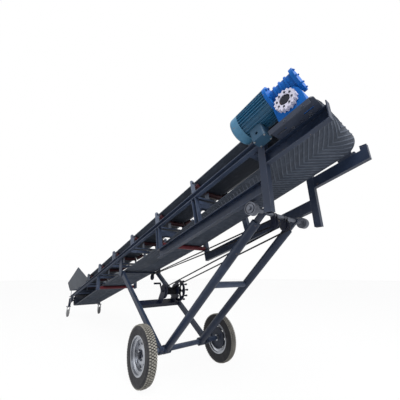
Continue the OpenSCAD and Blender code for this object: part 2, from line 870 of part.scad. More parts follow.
// hand wheel with a ring of pegs on its far face
module winch_wheel() {
  y1 = wheel_y0 + wheel_t;
  color([0.12, 0.12, 0.15]) legged(tail_leg_ang) translate([beam_at, 0, winch_v]) {
    difference() {
      cross_rod(wheel_d, wheel_y0, y1);
      for (k = [0 : wheel_holes - 1]) rotate([0, k * 360 / wheel_holes, 0])
        translate([wheel_ring_share * wheel_d, 0, 0])
          cross_rod(wheel_hole_d, wheel_y0 - over, y1 + over);
      cross_rod(spindle_d + fit, wheel_y0 - over, y1 + over);
    }
    for (k = [0 : pegs - 1]) rotate([0, k * 360 / pegs, 0])
      translate([peg_ring_share * wheel_d, 0, 0]) {
        cross_rod(peg_d, y1 - clear, y1 + peg_l);
        cross_rod(knob_d, y1 + peg_l - knob_l, y1 + peg_l);
      }
  }
}

sleeve_gap = 0.6;
sleeve_d = 88;
lug_w = 24;
bar_d = 36;
plug = 16;
module head_legs() {
  y0 = head_leg_y - head_leg_d / 2;
  y1 = head_leg_y + head_leg_d / 2;
  lug_y0 = head_leg_y - lug_w / 2;
  lug_y1 = head_leg_y + lug_w / 2;
  tube_end = head_leg_len - 2 * roller_r;
  color([0.2, 0.23, 0.32]) legged(head_leg_ang) both() difference() {
    union() {
      difference() {
        translate([0, head_leg_y, 0]) long_rod(head_leg_d, 0, tube_end);
        translate([0, head_leg_y, 0])
          long_rod(head_leg_d - 2 * wall, sleeve_d / 2 + wall, tube_end - plug);
        translate([sleeve_d, head_leg_y, 0]) cylinder(h = head_leg_d, d = drain_d, $fn = fine_fn);
      }
      cross_rod(sleeve_d, y0, y1);
      span(tube_end - plug, head_leg_len, lug_y0, lug_y1, -roller_r / 2, roller_r / 2);
      translate([head_leg_len, 0, 0]) cross_rod(roller_r + stand_t, lug_y0, lug_y1);
    }
    cross_rod(axle_d + 2 * sleeve_gap, y0 - over, y1 + over);
    translate([head_leg_len, 0, 0]) cross_rod(bar_d + fit, y0 - over, y1 + over);
  }
}

tie_d = 60;
module leg_tie() {
  y = head_leg_y - head_leg_d / 2 + clear;
  color([0.3, 0.33, 0.4]) legged(head_leg_ang) translate([tie_share * head_leg_len, 0, 0]) difference() {
    cross_rod(tie_d, -y, y);
    cross_rod(tie_d - 2 * wall, -y - over, y + over);
    both() translate([0, head_leg_y, 0]) long_rod(head_leg_d + fit, -beyond, beyond);
  }
}

roller_w = 52;
roller_y0 = in_half + clear;
module roller_bar() {
  color([0.35, 0.36, 0.4]) legged(head_leg_ang) translate([head_leg_len, 0, 0])
    cross_rod(bar_d, -roller_y0 - roller_w + clear, roller_y0 + roller_w - clear);
}

block_near_y = -100;
block_far_y = 60;
module rope_blocks() {
  color([0.1, 0.1, 0.12]) legged(head_leg_ang) for (y = [block_near_y, block_far_y])
    translate([head_leg_len, y, 0]) rotate([0, head_leg_ang, 0]) rope_block(bar_d);
}

groove_w = 20;
groove_d = 10;
module rail_roller() {
  color([0.5, 0.52, 0.55]) legged(head_leg_ang) translate([head_leg_len, roller_y0, 0])
    rotate([-90, 0, 0]) difference() {
      cylinder(h = roller_w, d = roller_d, $fn = round_fn);
      translate([0, 0, -over]) cylinder(h = roller_w + 2 * over, d = bar_d + 2 * sleeve_gap, $fn = fine_fn);
      translate([0, 0, roller_w - groove_d]) rotate_extrude($fn = round_fn)
        translate([bar_d, 0]) square([groove_w / 2, roller_w]);
    }
}

// section of a tyre from bead to bead: distance from the axle, then across
wall_share = 0.21;
shoulder_share = 0.05;
shoulder_in = 8;
crown_in = 26;
bead_in = 10;
module tyre() {
  r = tyre_d / 2;
  w = tyre_w / 2;
  side = [[rim_d / 2 + fit, w - bead_in], [(1 - wall_share) * r, w],
    [(1 - shoulder_share) * r, w - shoulder_in], [r, w - crown_in]];
  other = [for (k = [len(side) - 1 : -1 : 0]) [side[k][0], -side[k][1]]];
  color([0.1, 0.1, 0.1]) at_ground() translate([0, track / 2, axle_z]) rotate([90, 0, 0])
    rotate_extrude($fn = round_fn) polygon(concat(side, other));
}

rim_w = 84;
rim_wall = 8;
disc_z = -14;
dish = 12;
wheel_disc_t = 8;
hand_holes = 8;
well_share = 0.81;
hub_share = 0.35;
hole_share = 0.22;
hole_ring_share = 0.607;
module rim() {
  r = rim_d / 2;
  well = well_share * r;
  hub_r = hub_share * r;
  ring_r = hole_ring_share * r;
  lip = rim_w / 2;
  r1 = r - rim_wall;
  r2 = r1 - rim_wall;
  seat = lip - rim_wall;
  in_r = well - rim_wall;
  disc_r = well - rim_wall / 2;
  color([0.7, 0.7, 0.72]) at_ground() translate([0, track / 2, axle_z]) rotate([-90, 0, 0])
    difference() {
      union() {
        rotate_extrude($fn = round_fn) polygon([[r, -lip], [r, -seat], [r1, -seat], [r1, -lip / 2],
          [well, -lip / 4], [well, lip / 4], [r1, lip / 2], [r1, seat], [r, seat], [r, lip], [r2, lip],
          [r2, lip / 2], [in_r, lip / 4], [in_r, -lip / 4], [r2, -lip / 2], [r2, -lip]]);
        translate([0, 0, disc_z]) rotate_extrude($fn = round_fn) polygon([[0, dish], [hub_r, dish],
          [ring_r, 0], [disc_r, 0], [disc_r, wheel_disc_t], [ring_r, wheel_disc_t],
          [hub_r, dish + wheel_disc_t], [0, dish + wheel_disc_t]]);
        translate([0, 0, -lip])
          cylinder(h = lip + disc_z + dish + wheel_disc_t, r = hub_r / 2 + clear, $fn = fine_fn);
      }
      translate([0, 0, -rim_w]) cylinder(h = 2 * rim_w, d = stub_d + 2 * sleeve_gap, $fn = fine_fn);
      for (k = [0 : hand_holes - 1]) rotate([0, 0, k * 360 / hand_holes])
        translate([ring_r, 0, disc_z - over])
          cylinder(h = 2 * over + wheel_disc_t, d = hole_share * r, $fn = fine_fn);
    }
}

crown_d = 84;
swivel_gap = 1;
cheek_t = 5;
king_out = 10;
module caster_fork() {
  z0 = caster_d / 2;
  z1 = caster_top_z - swivel_gap - pad_t;
  y0 = caster_w / 2 + clear;
  y1 = y0 + cheek_t;
  color([0.4, 0.42, 0.45]) at_ground() translate([-caster_x, caster_y, 0]) {
    difference() {
      union() {
        translate([0, 0, z1]) cylinder(h = pad_t, d = crown_d, $fn = fine_fn);
        both() {
          span(-crown_d / 3, caster_trail + over, y0, y1, z0, z1);
          translate([caster_trail, 0, z0]) cross_rod(2 * over, y0, y1);
        }
      }
      translate([caster_trail, 0, z0]) cross_rod(spindle_d + fit, -2 * y1, 2 * y1);
    }
    translate([0, 0, z1]) cylinder(h = 2 * pad_t + swivel_gap + king_out, d = king_d, $fn = fine_fn);
  }
}

module caster_wheel() {
  y1 = caster_w / 2 + clear + cheek_t;
  color([0.12, 0.12, 0.12]) at_ground()
    translate([-caster_x + caster_trail, caster_y, caster_d / 2]) {
      cross_rod(caster_d, -caster_w / 2, caster_w / 2);
      cross_rod(spindle_d, -y1, y1);
    }
}

top_chords();
uprights();
cross_members();
luff_rails();
stop_posts();
drive_channels();
idler_stands();
idler_brackets();
trough_idlers();
return_rollers();
belt();
head_drum();
tail_drum();
head_bearings();
tail_bearings();
drive_plate();
gearbox();
output_flange();
motor();
fan_cover();
terminal_box();
hopper();
pivot_shaft();
pivot_brackets();
pivot_block();
caster_brackets();
tail_legs();
axle();
winch_beam();
winch_frame();
winch_drum();
winch_wheel();
head_legs();
leg_tie();
roller_bar();
rope_blocks();
on_side(-1) rail_roller();  // rail_roller_near
on_side(1) rail_roller();  // rail_roller_far
on_side(-1) tyre();  // tyre_near
on_side(-1) rim();  // rim_near
on_side(1) tyre();  // tyre_far
on_side(1) rim();  // rim_far
on_side(-1) caster_fork();  // caster_fork_near
on_side(-1) caster_wheel();  // caster_wheel_near
on_side(1) caster_fork();  // caster_fork_far
on_side(1) caster_wheel();  // caster_wheel_far
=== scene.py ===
import json
import math
import bmesh
import bpy
from mathutils import Matrix, Vector

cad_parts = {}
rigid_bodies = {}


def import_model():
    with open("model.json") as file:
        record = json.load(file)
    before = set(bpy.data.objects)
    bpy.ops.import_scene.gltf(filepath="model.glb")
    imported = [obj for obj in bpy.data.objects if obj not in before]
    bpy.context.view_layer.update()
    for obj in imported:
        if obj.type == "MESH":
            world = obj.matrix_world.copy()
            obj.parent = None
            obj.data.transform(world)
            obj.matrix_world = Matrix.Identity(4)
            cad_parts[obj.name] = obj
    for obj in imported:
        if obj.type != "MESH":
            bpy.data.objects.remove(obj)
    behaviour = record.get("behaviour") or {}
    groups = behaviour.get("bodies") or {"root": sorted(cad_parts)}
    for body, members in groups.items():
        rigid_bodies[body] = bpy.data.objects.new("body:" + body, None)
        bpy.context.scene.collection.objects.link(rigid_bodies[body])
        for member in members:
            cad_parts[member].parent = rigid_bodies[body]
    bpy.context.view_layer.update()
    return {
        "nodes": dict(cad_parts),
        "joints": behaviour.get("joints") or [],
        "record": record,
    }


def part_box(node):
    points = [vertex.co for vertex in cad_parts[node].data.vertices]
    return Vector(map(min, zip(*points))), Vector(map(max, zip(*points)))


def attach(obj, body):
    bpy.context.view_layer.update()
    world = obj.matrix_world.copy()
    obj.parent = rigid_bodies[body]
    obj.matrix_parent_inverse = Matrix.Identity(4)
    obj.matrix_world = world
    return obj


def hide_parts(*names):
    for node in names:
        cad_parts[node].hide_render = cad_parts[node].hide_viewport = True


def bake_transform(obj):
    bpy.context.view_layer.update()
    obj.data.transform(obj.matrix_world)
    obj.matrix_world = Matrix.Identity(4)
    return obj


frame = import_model()
nodes, record = frame["nodes"], frame["record"]
joints = {j["name"]: j for j in frame["joints"]}
mounts = {m["name"]: m for m in record["mounts"]}
slotOf = {p["node"]: p["material_slot"] for p in record["subparts"]}


def jointAt(name):
    return Vector(joints[name]["pos_m"])


# directions of the belt frame, and the head drum's axis, from which places on the frame are counted
acrossDir = Vector((0, 1, 0))
beltNormal = Vector(mounts["belt_face"]["axis"]).normalized()
beltDir = acrossDir.cross(beltNormal)
inMiddle = Vector((1, 0, 1))  # times a point: the same point in the middle plane
drumLow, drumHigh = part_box("head_drum")
drumAxis = (drumLow + drumHigh) / 2 * inMiddle
drumPlace = {"s": 0.600, "v": 0.430}  # the head drum's axis by the source's own distances along and up
axle = jointAt("road_wheel_near_spin") * inMiddle
legPivot = jointAt("luffing")
rollerAxis = jointAt("rail_roller_near_spin") * inMiddle
both = (-1, 1)  # the two sides, or the two ends


def place(s, y, v):  # a point by the source's own distances along, across and up
    return drumAxis + beltDir * (s - drumPlace["s"]) + acrossDir * y + beltNormal * (v - drumPlace["v"])


def evenAngles(count, first=0):  # angles evenly round one turn
    return [first + 2 * math.pi * k / count for k in range(count)]


def onCircle(radius, angle):  # a point of an upright circle round the origin
    return Vector((radius * math.cos(angle), 0, radius * math.sin(angle)))


def screenColour(red, green, blue):  # a colour as a screen shows it, 0 to 255
    return [((c / 255 + 0.055) / 1.055) ** 2.4 for c in (red, green, blue)] + [1]


def shade(colour, share):  # a darker tone of a colour
    return [c * share for c in colour[:3]] + [1]


# finishes: a field is a value that varies over a surface, and a finish is one material

class Field:
    def __init__(self, finish, socket):
        self.finish, self.socket = finish, socket

    def mathWith(self, operation, first, second):
        return self.finish.make("ShaderNodeMath", {"operation": operation}, {0: first, 1: second})

    def __add__(self, other):
        return self.mathWith("ADD", self, other)

    def __mul__(self, other):
        return self.mathWith("MULTIPLY", self, other)

    def __rsub__(self, other):
        return self.mathWith("SUBTRACT", other, self)

    __radd__, __rmul__ = __add__, __mul__


class Finish:
    bumpStrength = 0.6

    def __init__(self, name, fixed=None):
        self.material = bpy.data.materials.new(name)
        self.material.use_nodes = True
        self.tree = self.material.node_tree
        self.shader = self.tree.nodes["Principled BSDF"]
        for socket, value in (fixed or {}).items():
            self.shader.inputs[socket].default_value = value
        self.place = self.make("ShaderNodeTexCoord", output="Object")

    def make(self, kind, settings=None, inputs=None, output=0):
        node = self.tree.nodes.new(kind)
        for key, value in (settings or {}).items():
            setattr(node, key, value)
        for key, value in (inputs or {}).items():
            if isinstance(value, Field):
                self.tree.links.new(value.socket, node.inputs[key])
            else:
                node.inputs[key].default_value = value
        return Field(self, node.outputs[output])

    def noise(self, scale, detail, stretch=None):
        at = self.place
        if stretch:
            at = self.make("ShaderNodeMapping", inputs={"Vector": at, "Scale": stretch})
        return self.make("ShaderNodeTexNoise", inputs={"Vector": at, "Scale": scale, "Detail": detail},
                         output="Fac")

    def step(self, value, low, high):  # 0 below low, 1 above high
        return self.make("ShaderNodeMapRange", {"interpolation_type": "SMOOTHSTEP"},
                         {"Value": value, "From Min": low, "From Max": high})

    def mix(self, amount, first, second):  # sockets 6 and 7 are the node's two colours
        return self.make("ShaderNodeMix", {"data_type": "RGBA"}, {0: amount, 6: first, 7: second}, output=2)

    def facingUp(self):
        normal = self.make("ShaderNodeNewGeometry", output="Normal")
        return self.make("ShaderNodeSeparateXYZ", inputs={0: normal}, output="Z")

    def edges(self, radius, samples, low, high):  # 1 along edges, 0 on flat faces
        rounded = self.make("ShaderNodeBevel", {"samples": samples}, {"Radius": radius})
        normal = self.make("ShaderNodeNewGeometry", output="Normal")
        alike = self.make("ShaderNodeVectorMath", {"operation": "DOT_PRODUCT"}, {0: rounded, 1: normal},
                          output="Value")
        return self.step(1 - alike, low, high)

    def finishWith(self, colour, roughness, bump, depth, metallic=None):
        normal = self.make("ShaderNodeBump", inputs={"Height": bump, "Distance": depth,
                                                     "Strength": self.bumpStrength})
        fields = {"Base Color": colour, "Roughness": roughness, "Metallic": metallic, "Normal": normal}
        for socket, field in fields.items():
            if field is not None:
                self.tree.links.new(field.socket, self.shader.inputs[socket])
        return self.material


# painted steel: uneven paint, grime, settled dust, chips, and lighter edges that are partly worn paint and
# partly a painted highlight; a noise is its scale and detail
paint = {"coatShare": 0.15, "coatRoughness": 0.3,
         "uneven": (2.2, 5), "unevenStep": (0.35, 0.7), "unevenShade": 0.72,
         "grime": (9, 6), "grimeStep": (0.5, 0.75), "grimeShare": 0.35, "grimeRoughness": 0.2,
         "settledStep": (0.3, 0.95), "settledShare": 0.5,
         "chips": (38, 4), "chipStep": (0.69, 0.72), "chipShare": 0.6, "chipColour": (96, 82, 74),
         "edgeRadius": 0.004, "edgeSamples": 4, "edgeStep": (0.02, 0.2),
         "wear": (14, 4), "wearStep": (0.3, 0.62), "wornAndHighlightShare": 0.55, "wornAndHighlightLift": 0.16,
         "sheen": (26, 4), "sheenShare": 0.22, "sheenDrop": 0.06,
         "fineBump": (320, 2), "wideBump": (18, 3), "wideShare": 0.6, "depth": 0.0006}


def paintedSteel(name, base, dust, rough=0.42, dustiness=0.5, edgeWearAndHighlight=0.45, shine=0.2):
    f = Finish(name, {"Coat Weight": paint["coatShare"] * shine, "Coat Roughness": paint["coatRoughness"],
                      "Specular IOR Level": shine})
    base = screenColour(*base)
    uneven = f.step(f.noise(*paint["uneven"]), *paint["unevenStep"])
    colour = f.mix(uneven, base, shade(base, paint["unevenShade"]))
    grime = f.step(f.noise(*paint["grime"]), *paint["grimeStep"]) * dustiness
    settled = f.step(f.facingUp(), *paint["settledStep"]) * dustiness
    dirt = grime * paint["grimeShare"] + settled * paint["settledShare"]
    colour = f.mix(dirt, colour, screenColour(*dust))
    chips = f.step(f.noise(*paint["chips"]), *paint["chipStep"]) * paint["chipShare"]
    colour = f.mix(chips, colour, screenColour(*paint["chipColour"]))
    # edges are lightened towards a paler tone of the base: partly worn paint, partly a painted highlight
    # along the edges
    edges = f.edges(paint["edgeRadius"], paint["edgeSamples"], *paint["edgeStep"])
    edges = edges * f.step(f.noise(*paint["wear"]), *paint["wearStep"]) * edgeWearAndHighlight
    colour = f.mix(edges, colour, [c * paint["wornAndHighlightShare"] + paint["wornAndHighlightLift"] for c in base[:3]] + [1])
    sheen = f.noise(*paint["sheen"]) * paint["sheenShare"] + (rough - paint["sheenDrop"])
    bump = f.noise(*paint["fineBump"]) + f.noise(*paint["wideBump"]) * paint["wideShare"]
    return f.finishWith(colour, sheen + grime * paint["grimeRoughness"], bump, paint["depth"])


# bare metal: uneven tone and rust spots
metal = {"uneven": (7, 5), "unevenStep": (0.35, 0.75), "unevenShade": 0.62,
         "rust": (30, 5), "rustStep": (0.62, 0.72), "rustShare": 0.45, "rustColour": (104, 84, 66),
         "metallic": 0.85, "rustMetallic": 0.6, "sheen": (24, 3), "sheenShare": 0.25, "grain": (220, 2),
         "depth": 0.0003}


def bareMetal(name, base, rough):
    f = Finish(name)
    base = screenColour(*base)
    uneven = f.step(f.noise(*metal["uneven"]), *metal["unevenStep"])
    colour = f.mix(uneven, base, shade(base, metal["unevenShade"]))
    rust = f.step(f.noise(*metal["rust"]), *metal["rustStep"])
    colour = f.mix(rust * metal["rustShare"], colour, screenColour(*metal["rustColour"]))
    sheen = f.noise(*metal["sheen"]) * metal["sheenShare"] + rough
    metallic = metal["metallic"] - rust * metal["rustMetallic"]
    return f.finishWith(colour, sheen, f.noise(*metal["grain"]), metal["depth"], metallic)


# rubber: worn patches and a film of dust, stretched along the belt
gum = {"specular": 0.3, "wear": (3.2, 6), "wearStep": (0.35, 0.75), "wearShare": 0.7, "wearShade": 0.6,
       "film": (11, 6), "filmStep": (0.45, 0.8), "rough": 0.62, "sheen": (30, 3), "sheenShare": 0.22,
       "fineBump": (420, 2), "wideBump": (60, 4), "wideShare": 0.7, "depth": 0.0005}


def rubber(name, base, dust, dustiness, stretch=None):
    f = Finish(name, {"Specular IOR Level": gum["specular"]})
    base = screenColour(*base)
    wear = f.step(f.noise(*gum["wear"], stretch), *gum["wearStep"])
    colour = f.mix(wear * gum["wearShare"], base, shade(base, gum["wearShade"]))
    film = f.step(f.noise(*gum["film"], stretch), *gum["filmStep"]) * dustiness
    colour = f.mix(film, colour, screenColour(*dust))
    sheen = gum["rough"] + f.noise(*gum["sheen"]) * gum["sheenShare"]
    bump = f.noise(*gum["fineBump"]) + f.noise(*gum["wideBump"]) * gum["wideShare"]
    return f.finishWith(colour, sheen, bump, gum["depth"])


# one finish for each slot of the record, each with its own tone and the tone of its dust
finishes = {
    "frame_paint": paintedSteel("frameNavy", (29, 39, 58), (68, 79, 98), rough=0.36),
    "bracket_paint": paintedSteel("idlerGrey", (76, 83, 97), (112, 114, 120), rough=0.4),
    "roller_paint": paintedSteel("rollerRed", (88, 26, 36), (96, 66, 70), rough=0.45),
    "belt_rubber": rubber("beltCharcoal", (44, 51, 63), (80, 86, 98), dustiness=0.35, stretch=(1, 2.5, 1)),
    "bare_steel": bareMetal("turnedSteel", (104, 108, 118), rough=0.44),
    "bearing_iron": paintedSteel("bearingIron", (46, 52, 66), (128, 124, 120), rough=0.45),
    "gear_paint": paintedSteel("gearBlue", (4, 82, 156), (28, 98, 164), rough=0.4, dustiness=0.2, edgeWearAndHighlight=0.15,
                               shine=0.12),
    "flange_silver": paintedSteel("flangeSilver", (190, 188, 204), (200, 198, 210), rough=0.5, dustiness=0.3,
                                  edgeWearAndHighlight=0.2),
    "motor_paint": paintedSteel("motorTeal", (29, 83, 115), (80, 116, 140), rough=0.36, dustiness=0.3,
                                edgeWearAndHighlight=0.4, shine=0.25),
    "cover_paint": paintedSteel("coverTeal", (62, 106, 134), (112, 138, 152), rough=0.34, dustiness=0.35),
    "hopper_paint": paintedSteel("hopperGrey", (46, 54, 66), (92, 97, 105), rough=0.45),
    "winch_paint": paintedSteel("winchBlueBlack", (13, 18, 38), (34, 41, 62), rough=0.42, dustiness=0.4,
                                edgeWearAndHighlight=0.25, shine=0.25),
    "tyre_rubber": rubber("tyreRubber", (30, 30, 34), (84, 83, 84), dustiness=0.32),
    "rim_silver": bareMetal("rimSilver", (158, 161, 168), rough=0.2),
    "caster_zinc": bareMetal("casterZinc", (168, 170, 174), rough=0.38),
    "caster_tread": rubber("casterTread", (120, 120, 122), (160, 158, 154), dustiness=0.4)}
# finishes of single pieces
ribTop = rubber("ribGrey", (64, 71, 84), (102, 107, 118), dustiness=0.5)
treadDust = rubber("treadDust", (122, 119, 112), (150, 146, 138), dustiness=0.6)
ropeSteel = bareMetal("ropeSteel", (30, 31, 37), rough=0.55)
# a duller copy of the frame paint for the drive plate, with less dust and edge lightening: painted shade on
# the plate and its lip
plateShadedNavy = paintedSteel("plateShadedNavy", (42, 48, 62), (70, 76, 90), rough=0.42, dustiness=0.4, edgeWearAndHighlight=0.25)
# a lighter copy of the frame paint: painted light, for the light that the chords, uprights, cross members,
# idler stands, leg tie and axle catch
chordLitNavy = paintedSteel("chordLitNavy", (52, 62, 82), (98, 107, 124), rough=0.36)
idlerRed = paintedSteel("idlerRed", (58, 26, 33), (72, 58, 62), rough=0.45)
boxTeal = paintedSteel("boxTeal", (44, 72, 94), (92, 112, 126), rough=0.4, dustiness=0.4, edgeWearAndHighlight=0.4)
shaftBlack = paintedSteel("shaftBlack", (18, 22, 34), (44, 48, 60), rough=0.4, dustiness=0.3, edgeWearAndHighlight=0.15)
ownFinish = {"drive_plate": plateShadedNavy, "terminal_box": boxTeal, "trough_idlers": idlerRed}
# these parts take the lighter copy of the frame paint, which paints light on them
for name in ("top_chords", "uprights", "cross_members", "idler_stands", "leg_tie", "axle"):
    ownFinish[name] = chordLitNavy
for name, node in nodes.items():
    node.data.materials.clear()
    node.data.materials.append(ownFinish.get(name, finishes[slotOf[name]]))
print("finishes set on", len(nodes), "nodes")

# piece helpers
weld = 1e-6  # points closer than this are one


def newObject(name, data):
    piece = bpy.data.objects.new(name, data)
    bpy.context.scene.collection.objects.link(piece)
    return piece


def meshFrom(name, vertices, faces):
    mesh = bpy.data.meshes.new(name)
    mesh.from_pydata([tuple(v) for v in vertices], [], faces)
    mesh.validate()
    shell = bmesh.new()
    shell.from_mesh(mesh)
    bmesh.ops.remove_doubles(shell, verts=shell.verts, dist=weld)
    bmesh.ops.recalc_face_normals(shell, faces=shell.faces)
    shell.to_mesh(mesh)
    shell.free()
    return mesh


def painted(piece, finish):
    piece.data.materials.clear()
    piece.data.materials.append(finish)
    return piece


def settle(piece, body, smooth=False, replaced=()):
    for polygon in piece.data.polygons:
        polygon.use_smooth = smooth
    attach(piece, body)
    if replaced:
        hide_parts(*replaced)


def lathe(name, profile, centre, side, steps):  # turns a profile of radius and distance along Y
    count = len(profile)
    vertices = [centre + Vector((r * math.cos(a), side * y, r * math.sin(a)))
                for a in evenAngles(steps) for r, y in profile]
    faces = [(k * count + j, k * count + (j + 1) % count, (k + 1) % steps * count + (j + 1) % count,
              (k + 1) % steps * count + j) for k in range(steps) for j in range(count)]
    return newObject(name, meshFrom(name, vertices, faces))


def mirrored(half):  # a profile and its other half, back to the start
    return half + [(r, -y) for r, y in reversed(half)]


class NodeTree:
    def __init__(self, name, sockets):
        self.group = bpy.data.node_groups.new(name, "GeometryNodeTree")
        face = self.group.interface
        face.new_socket("Geometry", in_out="INPUT", socket_type="NodeSocketGeometry")
        self.ids = {}
        for label, kind in sockets.items():
            self.ids[label] = face.new_socket(label, in_out="INPUT", socket_type=kind).identifier
        face.new_socket("Geometry", in_out="OUTPUT", socket_type="NodeSocketGeometry")
        self.source = self.group.nodes.new("NodeGroupInput")
        self.end = self.group.nodes.new("NodeGroupOutput")

    def given(self, label):
        return self.source.outputs[label]

    def add(self, kind, settings=None, inputs=None, output=0):
        node = self.group.nodes.new(kind)
        for key, value in (settings or {}).items():
            setattr(node, key, value)
        for key, value in (inputs or {}).items():
            if isinstance(value, bpy.types.NodeSocket):
                self.group.links.new(value, node.inputs[key])
            else:
                node.inputs[key].default_value = value
        return node.outputs[output]

    def close(self, geometry):
        realized = self.add("GeometryNodeRealizeInstances", inputs={0: geometry})
        coated = self.add("GeometryNodeSetMaterial", inputs={0: realized, "Material": self.given("Material")})
        self.group.links.new(coated, self.end.inputs[0])

    def grow(self, name, base, values):  # runs the tree on a base mesh and keeps the result as a plain mesh
        carrier = newObject(name + "Carrier", base)
        modifier = carrier.modifiers.new("grow", "NODES")
        modifier.node_group = self.group
        for label, value in values.items():
            modifier[self.ids[label]] = value
        bpy.context.view_layer.update()
        evaluated = carrier.evaluated_get(bpy.context.evaluated_depsgraph_get())
        made = bpy.data.meshes.new_from_object(evaluated)
        bpy.data.objects.remove(carrier)
        return newObject(name, made)


# camera as the photograph was taken, from the middle of the axle
view = {"fromAxle": (2.431, -1.723, 1.050), "axleHeight": 0.28, "yaw": 0.894, "pitch": 0.333, "lens": 19.6155,
        "sensor": 36, "farthest": 200}
camera = newObject("camera", bpy.data.cameras.new("camera"))
camera.location = Vector(view["fromAxle"]) + Vector((axle.x, 0, axle.z - view["axleHeight"]))
camera.rotation_euler = (math.pi / 2 + view["pitch"], 0, view["yaw"])
camera.data.lens = view["lens"]
camera.data.sensor_width = view["sensor"]
camera.data.clip_end = view["farthest"]
bpy.context.scene.camera = camera

# soft light and a pale floor; clear is how far the eye sees through the floor
studio = {"reach": 60, "white": 0.8, "roughness": 0.9, "clear": 0.95,
          "sky": (0.9, 0.95, 1, 1), "skyStrength": 0.42,
          "lamps": {"keyLight": {"power": 1250, "size": 6, "at": (7.2, -2.6, 8.2), "aim": (0.8, 0, 1.0)},
                    "fillLight": {"power": 170, "size": 5, "at": (-1.5, -7.5, 2.6), "aim": (-0.5, 0, 1.4)},
                    "headLight": {"power": 100, "size": 3, "at": (7.0, 0.4, 4.6), "aim": drumAxis}}}
for name, lamp in studio["lamps"].items():
    light = newObject(name, bpy.data.lights.new(name, "AREA"))
    light.data.energy, light.data.size = lamp["power"], lamp["size"]
    light.location = lamp["at"]
    light.rotation_euler = (Vector(lamp["aim"]) - Vector(lamp["at"])).to_track_quat("-Z", "Y").to_euler()


def whiteToCamera(tree, lit, output):  # eye and reflections see a white ground, and the light stays plain
    isWorld = output.type == "OUTPUT_WORLD"
    path = tree.nodes.new("ShaderNodeLightPath")
    seen = path.outputs["Is Camera Ray"]
    for kind in ("Is Glossy Ray", "Is Transmission Ray", "Is Shadow Ray"):
        most = tree.nodes.new("ShaderNodeMath")
        most.operation = "MAXIMUM"
        tree.links.new(seen, most.inputs[0])
        tree.links.new(path.outputs[kind], most.inputs[1])
        seen = most.outputs[0]
    cut = tree.nodes.new("ShaderNodeMath")
    cut.operation = "MULTIPLY"
    cut.inputs[1].default_value = 1 if isWorld else studio["clear"]
    tree.links.new(seen, cut.inputs[0])
    white = tree.nodes.new("ShaderNodeBackground" if isWorld else "ShaderNodeBsdfTransparent")
    white.inputs["Color"].default_value = (1, 1, 1, 1)
    choice = tree.nodes.new("ShaderNodeMixShader")
    tree.links.new(cut.outputs[0], choice.inputs[0])
    tree.links.new(lit, choice.inputs[1])
    tree.links.new(white.outputs[0], choice.inputs[2])
    tree.links.new(choice.outputs[0], output.inputs["Surface"])


world = bpy.data.worlds.new("studioWorld")
bpy.context.scene.world = world
world.use_nodes = True
sky = world.node_tree.nodes["Background"]
sky.inputs["Color"].default_value = studio["sky"]
sky.inputs["Strength"].default_value = studio["skyStrength"]
whiteToCamera(world.node_tree, sky.outputs[0], world.node_tree.nodes["World Output"])
corners = [(x * studio["reach"], y * studio["reach"], 0) for x, y in ((-1, -1), (1, -1), (1, 1), (-1, 1))]
floor = newObject("floor", meshFrom("floor", corners, [(0, 1, 2, 3)]))
floorFinish = bpy.data.materials.new("floorWhite")
floorFinish.use_nodes = True
floorShader = floorFinish.node_tree.nodes["Principled BSDF"]
floorShader.inputs["Base Color"].default_value = [studio["white"]] * 3 + [1]
floorShader.inputs["Roughness"].default_value = studio["roughness"]
whiteToCamera(floorFinish.node_tree, floorShader.outputs[0], floorFinish.node_tree.nodes["Material Output"])
floor.data.materials.append(floorFinish)
bpy.context.scene.view_settings.view_transform = "Standard"
print("camera, light and floor ready")

# belt ribs: chevrons laid along the belt's loop and dropped on its outer face
ribs = {"pitch": 0.042, "slope": 0.55, "reach": 0.268, "height": 0.005, "foot": 0.007, "top": 0.0045,
        "bite": 0.001, "steps": 6, "lift": 0.25, "rayLength": 1.0,
        "cutWeld": 1e-5, "cutAt": 0.0004}  # the cut lies beside the middle, clear of the belt's own points


def loopOfBelt():  # the outer outline of the belt near its middle, as a closed line
    shell = bmesh.new()
    shell.from_mesh(nodes["belt"].data)
    bmesh.ops.remove_doubles(shell, verts=shell.verts, dist=ribs["cutWeld"])
    cut = bmesh.ops.bisect_plane(shell, geom=shell.verts[:] + shell.edges[:] + shell.faces[:], dist=weld,
                                 plane_co=(0, ribs["cutAt"], 0), plane_no=acrossDir)
    edges = {e for e in cut["geom_cut"] if isinstance(e, bmesh.types.BMEdge)}
    loops = []
    while edges:
        line = list(edges.pop().verts)
        while True:
            follow = next((e for e in edges if line[-1] in e.verts), None)
            if follow is None:
                break
            edges.remove(follow)
            line.append(follow.other_vert(line[-1]))
        loops.append([v.co.copy() for v in line])
    shell.free()
    longest = max(loops, key=lambda line: sum((a - b).length for a, b in zip(line, line[1:])))
    line = [p * inMiddle for p in longest[:-1]]  # the last point repeats the first
    turn = sum(a.x * b.z - b.x * a.z for a, b in zip(line, line[1:] + line[:1]))
    line = line if turn < 0 else line[::-1]  # along the carrying run it leads to the head
    first = max(range(len(line)), key=lambda k: (line[k].x, line[k].z))
    return line[first:] + line[:first]  # so the ribs start at the same place in every run


def ribMesh():  # one flat chevron, with its point towards positive X
    stations = [ribs["reach"] * k / ribs["steps"] for k in range(-ribs["steps"], ribs["steps"] + 1)]
    section = [(-ribs["foot"], -ribs["bite"]), (-ribs["top"], ribs["height"]), (ribs["top"], ribs["height"]),
               (ribs["foot"], -ribs["bite"])]
    vertices = [(ribs["slope"] * (ribs["reach"] - abs(y)) + t + ribs["foot"], y, h)
                for y in stations for t, h in section]
    count = len(section)
    faces = [(a, a + 1, a + 1 + count, a + count) for k in range(len(stations) - 1)
             for a in range(k * count, k * count + count - 1)]
    ends = [tuple(range(start, start + count)) for start in (0, count * (len(stations) - 1))]
    return meshFrom("rib", vertices, faces + ends)


